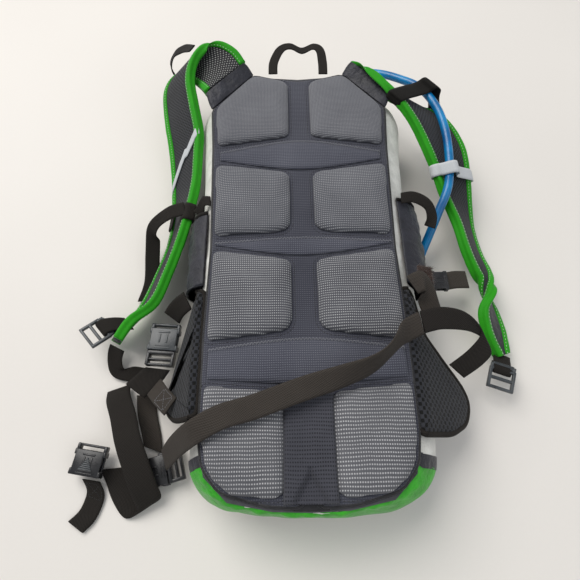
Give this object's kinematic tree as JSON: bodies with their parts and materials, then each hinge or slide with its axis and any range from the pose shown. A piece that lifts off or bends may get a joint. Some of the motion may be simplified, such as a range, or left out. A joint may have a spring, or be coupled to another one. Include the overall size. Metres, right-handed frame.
{
  "type": "hydration pack",
  "caption": "Slim hydration backpack lying on its front, with padded air-channel back panel, green-bound shoulder straps, hip wings, reservoir and drinking tube.",
  "frame": {"origin": "middle of the flat front pocket that the pack rests on, on the floor", "axes": "+X to the wearer's right strap as seen from the back panel, +Y towards the grab handle, +Z out of the back panel"},
  "size_m": [0.4465, 0.5415, 0.1155],
  "materials": {
    "body_fabric": "off-white coated nylon, fine ripstop grid",
    "charcoal_nylon": "dark grey nylon, satin",
    "panel_knit": "blue-grey stretch knit",
    "pod_knit": "grey knit with rows of pale dots",
    "green_ripstop": "bright green ripstop",
    "green_binding": "bright green knitted binding tape",
    "air_mesh": "black spacer mesh with diamond holes",
    "webbing": "black-brown woven webbing",
    "elastic": "flat black elastic",
    "reflective": "silver reflective tape",
    "buckle_black": "black acetal, semi-gloss",
    "buckle_grey": "dark grey acetal, semi-gloss",
    "zip_tape": "black coil zip",
    "tube_blue": "translucent blue polyurethane hose",
    "reservoir_film": "translucent polyurethane film",
    "foam_sheet": "stiff polyethylene back sheet",
    "valve_soft": "soft blue silicone mouthpiece"
  },
  "bodies": {
    "root": {"body_shell": "body_fabric", "front_pocket": "charcoal_nylon", "front_zip": "zip_tape", "main_zip": "zip_tape", "back_frame": "foam_sheet", "panel_base": "panel_knit", "pods_row_1": "pod_knit", "pods_row_2": "pod_knit", "pods_row_3": "pod_knit", "pods_row_4": "pod_knit", "stretch_panels": "panel_knit", "bottom_band": "green_ripstop", "corner_patches": "charcoal_nylon", "pocket_l": "charcoal_nylon", "pocket_r": "charcoal_nylon", "pocket_loop_l": "webbing", "pocket_loop_r": "webbing", "yokes": "charcoal_nylon", "reservoir": "reservoir_film", "fill_collar": "tube_blue", "inner_hose": "tube_blue", "tube_port": "buckle_black", "bite_valve": "valve_soft", "waist_web": "webbing", "waist_buckle_f": "buckle_black", "hip_web_l": "webbing", "hip_loop_l": "webbing", "hip_buckle_l": "buckle_grey", "adjuster_l": "webbing", "compress_web_r": "webbing"},
    "shoulder_l": {"strap_l": "air_mesh", "binding_l": "green_binding", "load_loop_l": "elastic", "reflector_l": "reflective", "sternum_loop_l": "webbing", "sternum_web_l": "webbing", "ladder_l": "buckle_grey"},
    "shoulder_r": {"strap_r": "air_mesh", "binding_r": "green_binding", "tube_keeper": "elastic", "reflector_r": "reflective", "sternum_web_r": "webbing", "sternum_buckle_r": "buckle_black", "ladder_r": "buckle_grey", "drink_tube": "tube_blue"},
    "shutoff": {"valve_lever": "buckle_grey"},
    "hip_l": {"wing_l": "air_mesh", "side_tab_l": "webbing", "side_buckle_f": "buckle_grey", "hip_tab_l": "webbing"},
    "side_plug": {"side_buckle_m": "buckle_black", "side_strap_l": "webbing"},
    "hip_r": {"wing_r": "air_mesh", "hip_web_r": "webbing"},
    "handle": {"grab_handle": "webbing"},
    "main_runner": {"main_slider": "buckle_grey"},
    "front_runner": {"front_slider": "buckle_grey"},
    "waist_plug": {"waist_buckle_m": "buckle_black"},
    "cap": {"reservoir_cap": "tube_blue"}
  },
  "joints": [
    {"name": "shoulder_l_swing", "type": "hinge", "parent": "root", "child": "shoulder_l", "pos_m": [-0.06, 0.2, 0.09], "axis": [0, 1, 0], "range_deg": [0, 50]},
    {"name": "shoulder_r_swing", "type": "hinge", "parent": "root", "child": "shoulder_r", "pos_m": [0.06, 0.2, 0.09], "axis": [0, -1, 0], "range_deg": [0, 50], "deforming": ["drink_tube"]},
    {"name": "shutoff_turn", "type": "hinge", "parent": "root", "child": "shutoff", "pos_m": [0.098, -0.1633, 0.007], "axis": [0, 0, 1], "range_deg": [0, 90]},
    {"name": "hip_l_swing", "type": "hinge", "parent": "root", "child": "hip_l", "pos_m": [-0.096, -0.1, 0.081], "axis": [0, 1, 0], "range_deg": [0, 14]},
    {"name": "hip_r_swing", "type": "hinge", "parent": "root", "child": "hip_r", "pos_m": [0.096, -0.1, 0.081], "axis": [0, -1, 0], "range_deg": [0, 16], "deforming": ["hip_web_r"]},
    {"name": "side_buckle_pull", "type": "slide", "parent": "hip_l", "child": "side_plug", "axis": [-0.0872, -0.9962, 0], "range_m": [0, 0.012]},
    {"name": "waist_buckle_pull", "type": "slide", "parent": "root", "child": "waist_plug", "axis": [0.9613, 0.2756, 0], "range_m": [0, 0.02]},
    {"name": "handle_swing", "type": "hinge", "parent": "root", "child": "handle", "pos_m": [0, 0.239, 0.082], "axis": [1, 0, 0], "range_deg": [0, 120]},
    {"name": "main_zip_run", "type": "slide", "parent": "root", "child": "main_runner", "axis": [0, 1, 0], "range_m": [-0.008, 0.008]},
    {"name": "front_zip_run", "type": "slide", "parent": "root", "child": "front_runner", "axis": [1, 0, 0], "range_m": [0, 0.055]},
    {"name": "cap_turn", "type": "hinge", "parent": "root", "child": "cap", "pos_m": [0, 0.12, 0.03], "axis": [0, 0, 1], "range_deg": [0, 90]}
  ]
}
